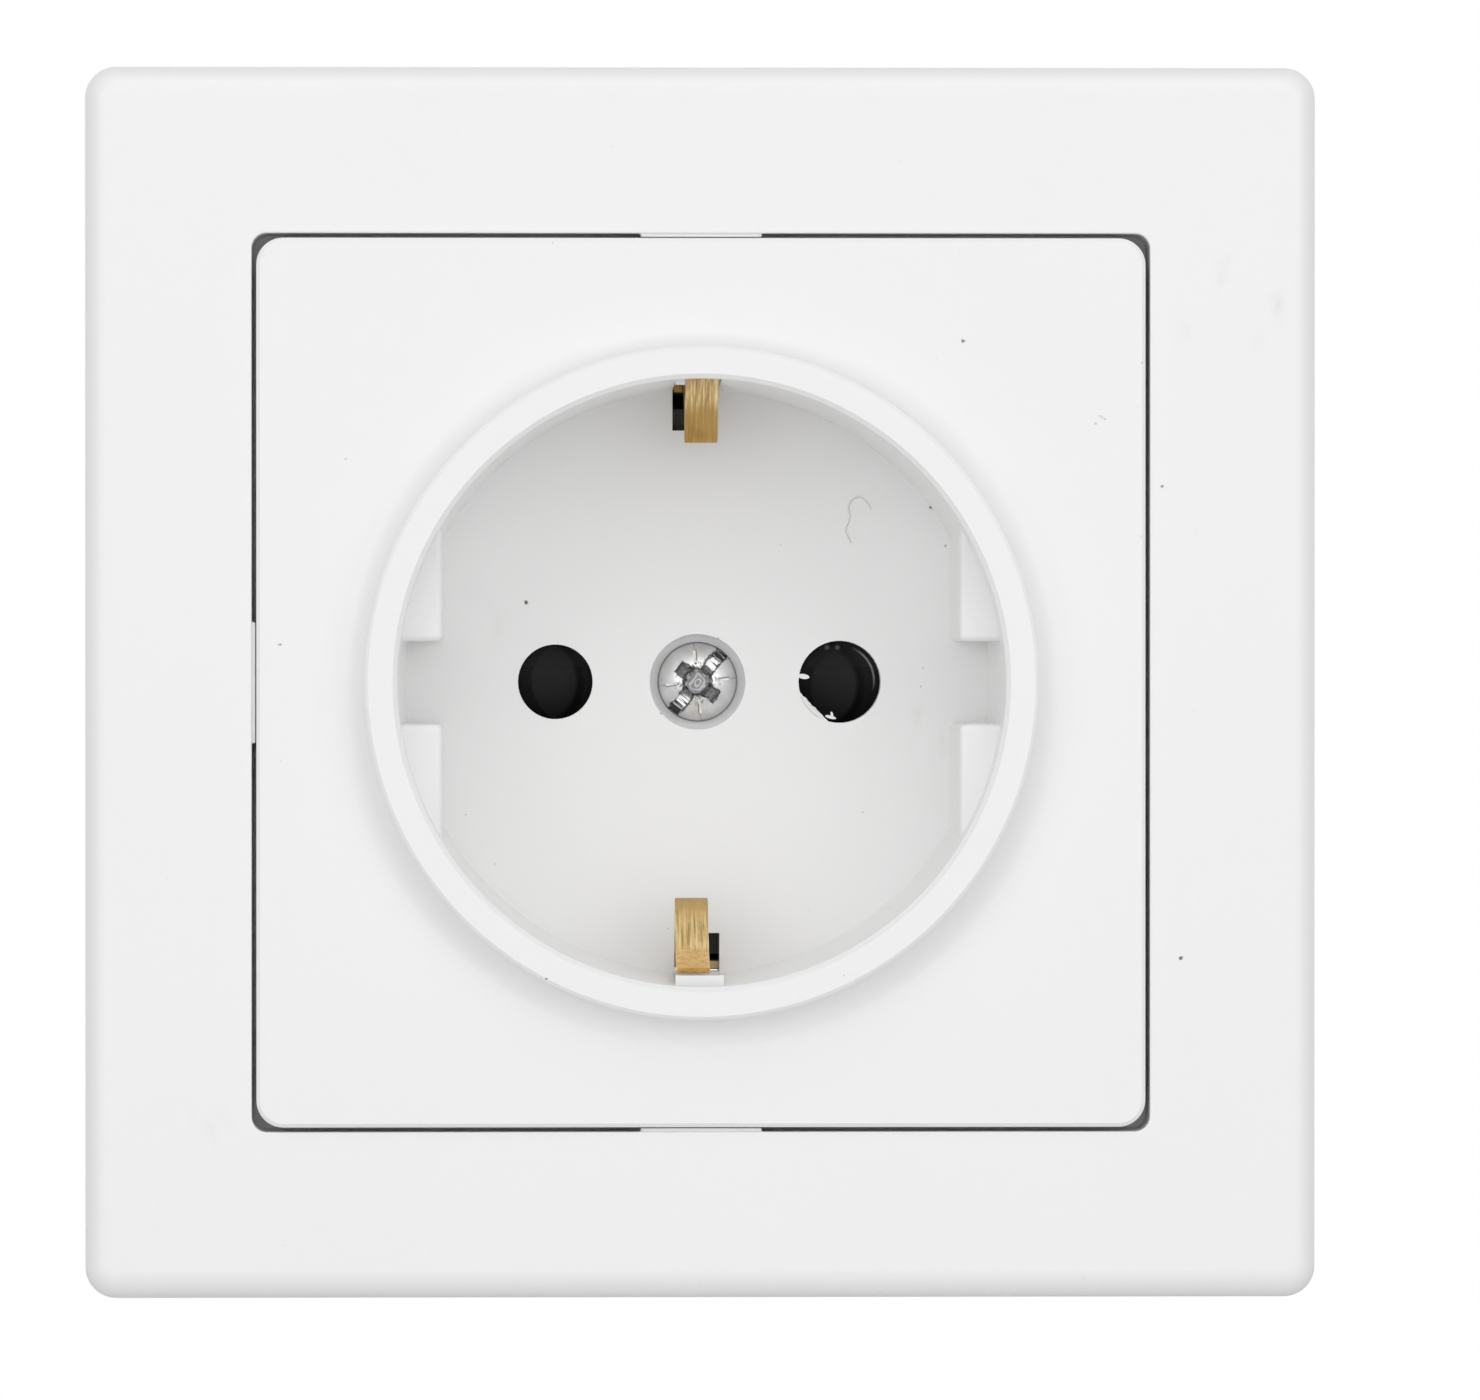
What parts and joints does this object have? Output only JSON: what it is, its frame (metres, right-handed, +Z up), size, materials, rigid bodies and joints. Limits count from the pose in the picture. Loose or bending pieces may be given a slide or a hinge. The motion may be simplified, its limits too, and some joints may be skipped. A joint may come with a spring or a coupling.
{
  "type": "type f wall socket",
  "caption": "Flush wall socket: square frame, plate with a round dish, bowed earth clips, shuttered pin holes, terminals and spreading claws.",
  "frame": {"origin": "centre between the two slots for the wall box screws, on the wall plane", "axes": "+X to the right seen from the room, +Y into the wall, +Z up"},
  "size_m": [0.0804, 0.0425, 0.0804],
  "materials": {
    "white_plastic": "satin moulded white",
    "black_plastic": "moulded black",
    "brass": "brushed, slightly tarnished",
    "zinc_steel": "zinc plated",
    "spring_steel": "plain"
  },
  "bodies": {
    "socket": {"cover_frame": "white_plastic", "centre_plate": "white_plastic", "centre_screw": "zinc_steel", "shutter_tray": "black_plastic", "shutter_spring": "spring_steel", "support_ring": "zinc_steel", "contact_base": "black_plastic", "earth_bracket": "brass", "left_contact": "brass", "right_contact": "brass", "left_grip_spring": "spring_steel", "right_grip_spring": "spring_steel", "left_clamp": "zinc_steel", "right_clamp": "zinc_steel", "earth_clamp": "zinc_steel", "terminal_screws": "zinc_steel", "claw_screws": "zinc_steel", "claw_nuts": "zinc_steel", "ring_rivets": "zinc_steel"},
    "shutter": {"shutter": "black_plastic"},
    "left_claw": {"left_claw": "zinc_steel"},
    "right_claw": {"right_claw": "zinc_steel"}
  },
  "joints": [
    {"name": "shutter_slide", "type": "slide", "parent": "socket", "child": "shutter", "axis": [0, 0, 1], "range_m": [0, 0.0057], "stiffness_N_per_m": 150, "springref_m": -0.004, "deforming": ["shutter_spring"]},
    {"name": "left_claw_spread", "type": "hinge", "parent": "socket", "child": "left_claw", "pos_m": [-0.0239, 0.003, 0], "axis": [0, 0, 1], "range_deg": [0, 15]},
    {"name": "right_claw_spread", "type": "hinge", "parent": "socket", "child": "right_claw", "pos_m": [0.0239, 0.003, 0], "axis": [0, 0, -1], "range_deg": [0, 15]}
  ]
}
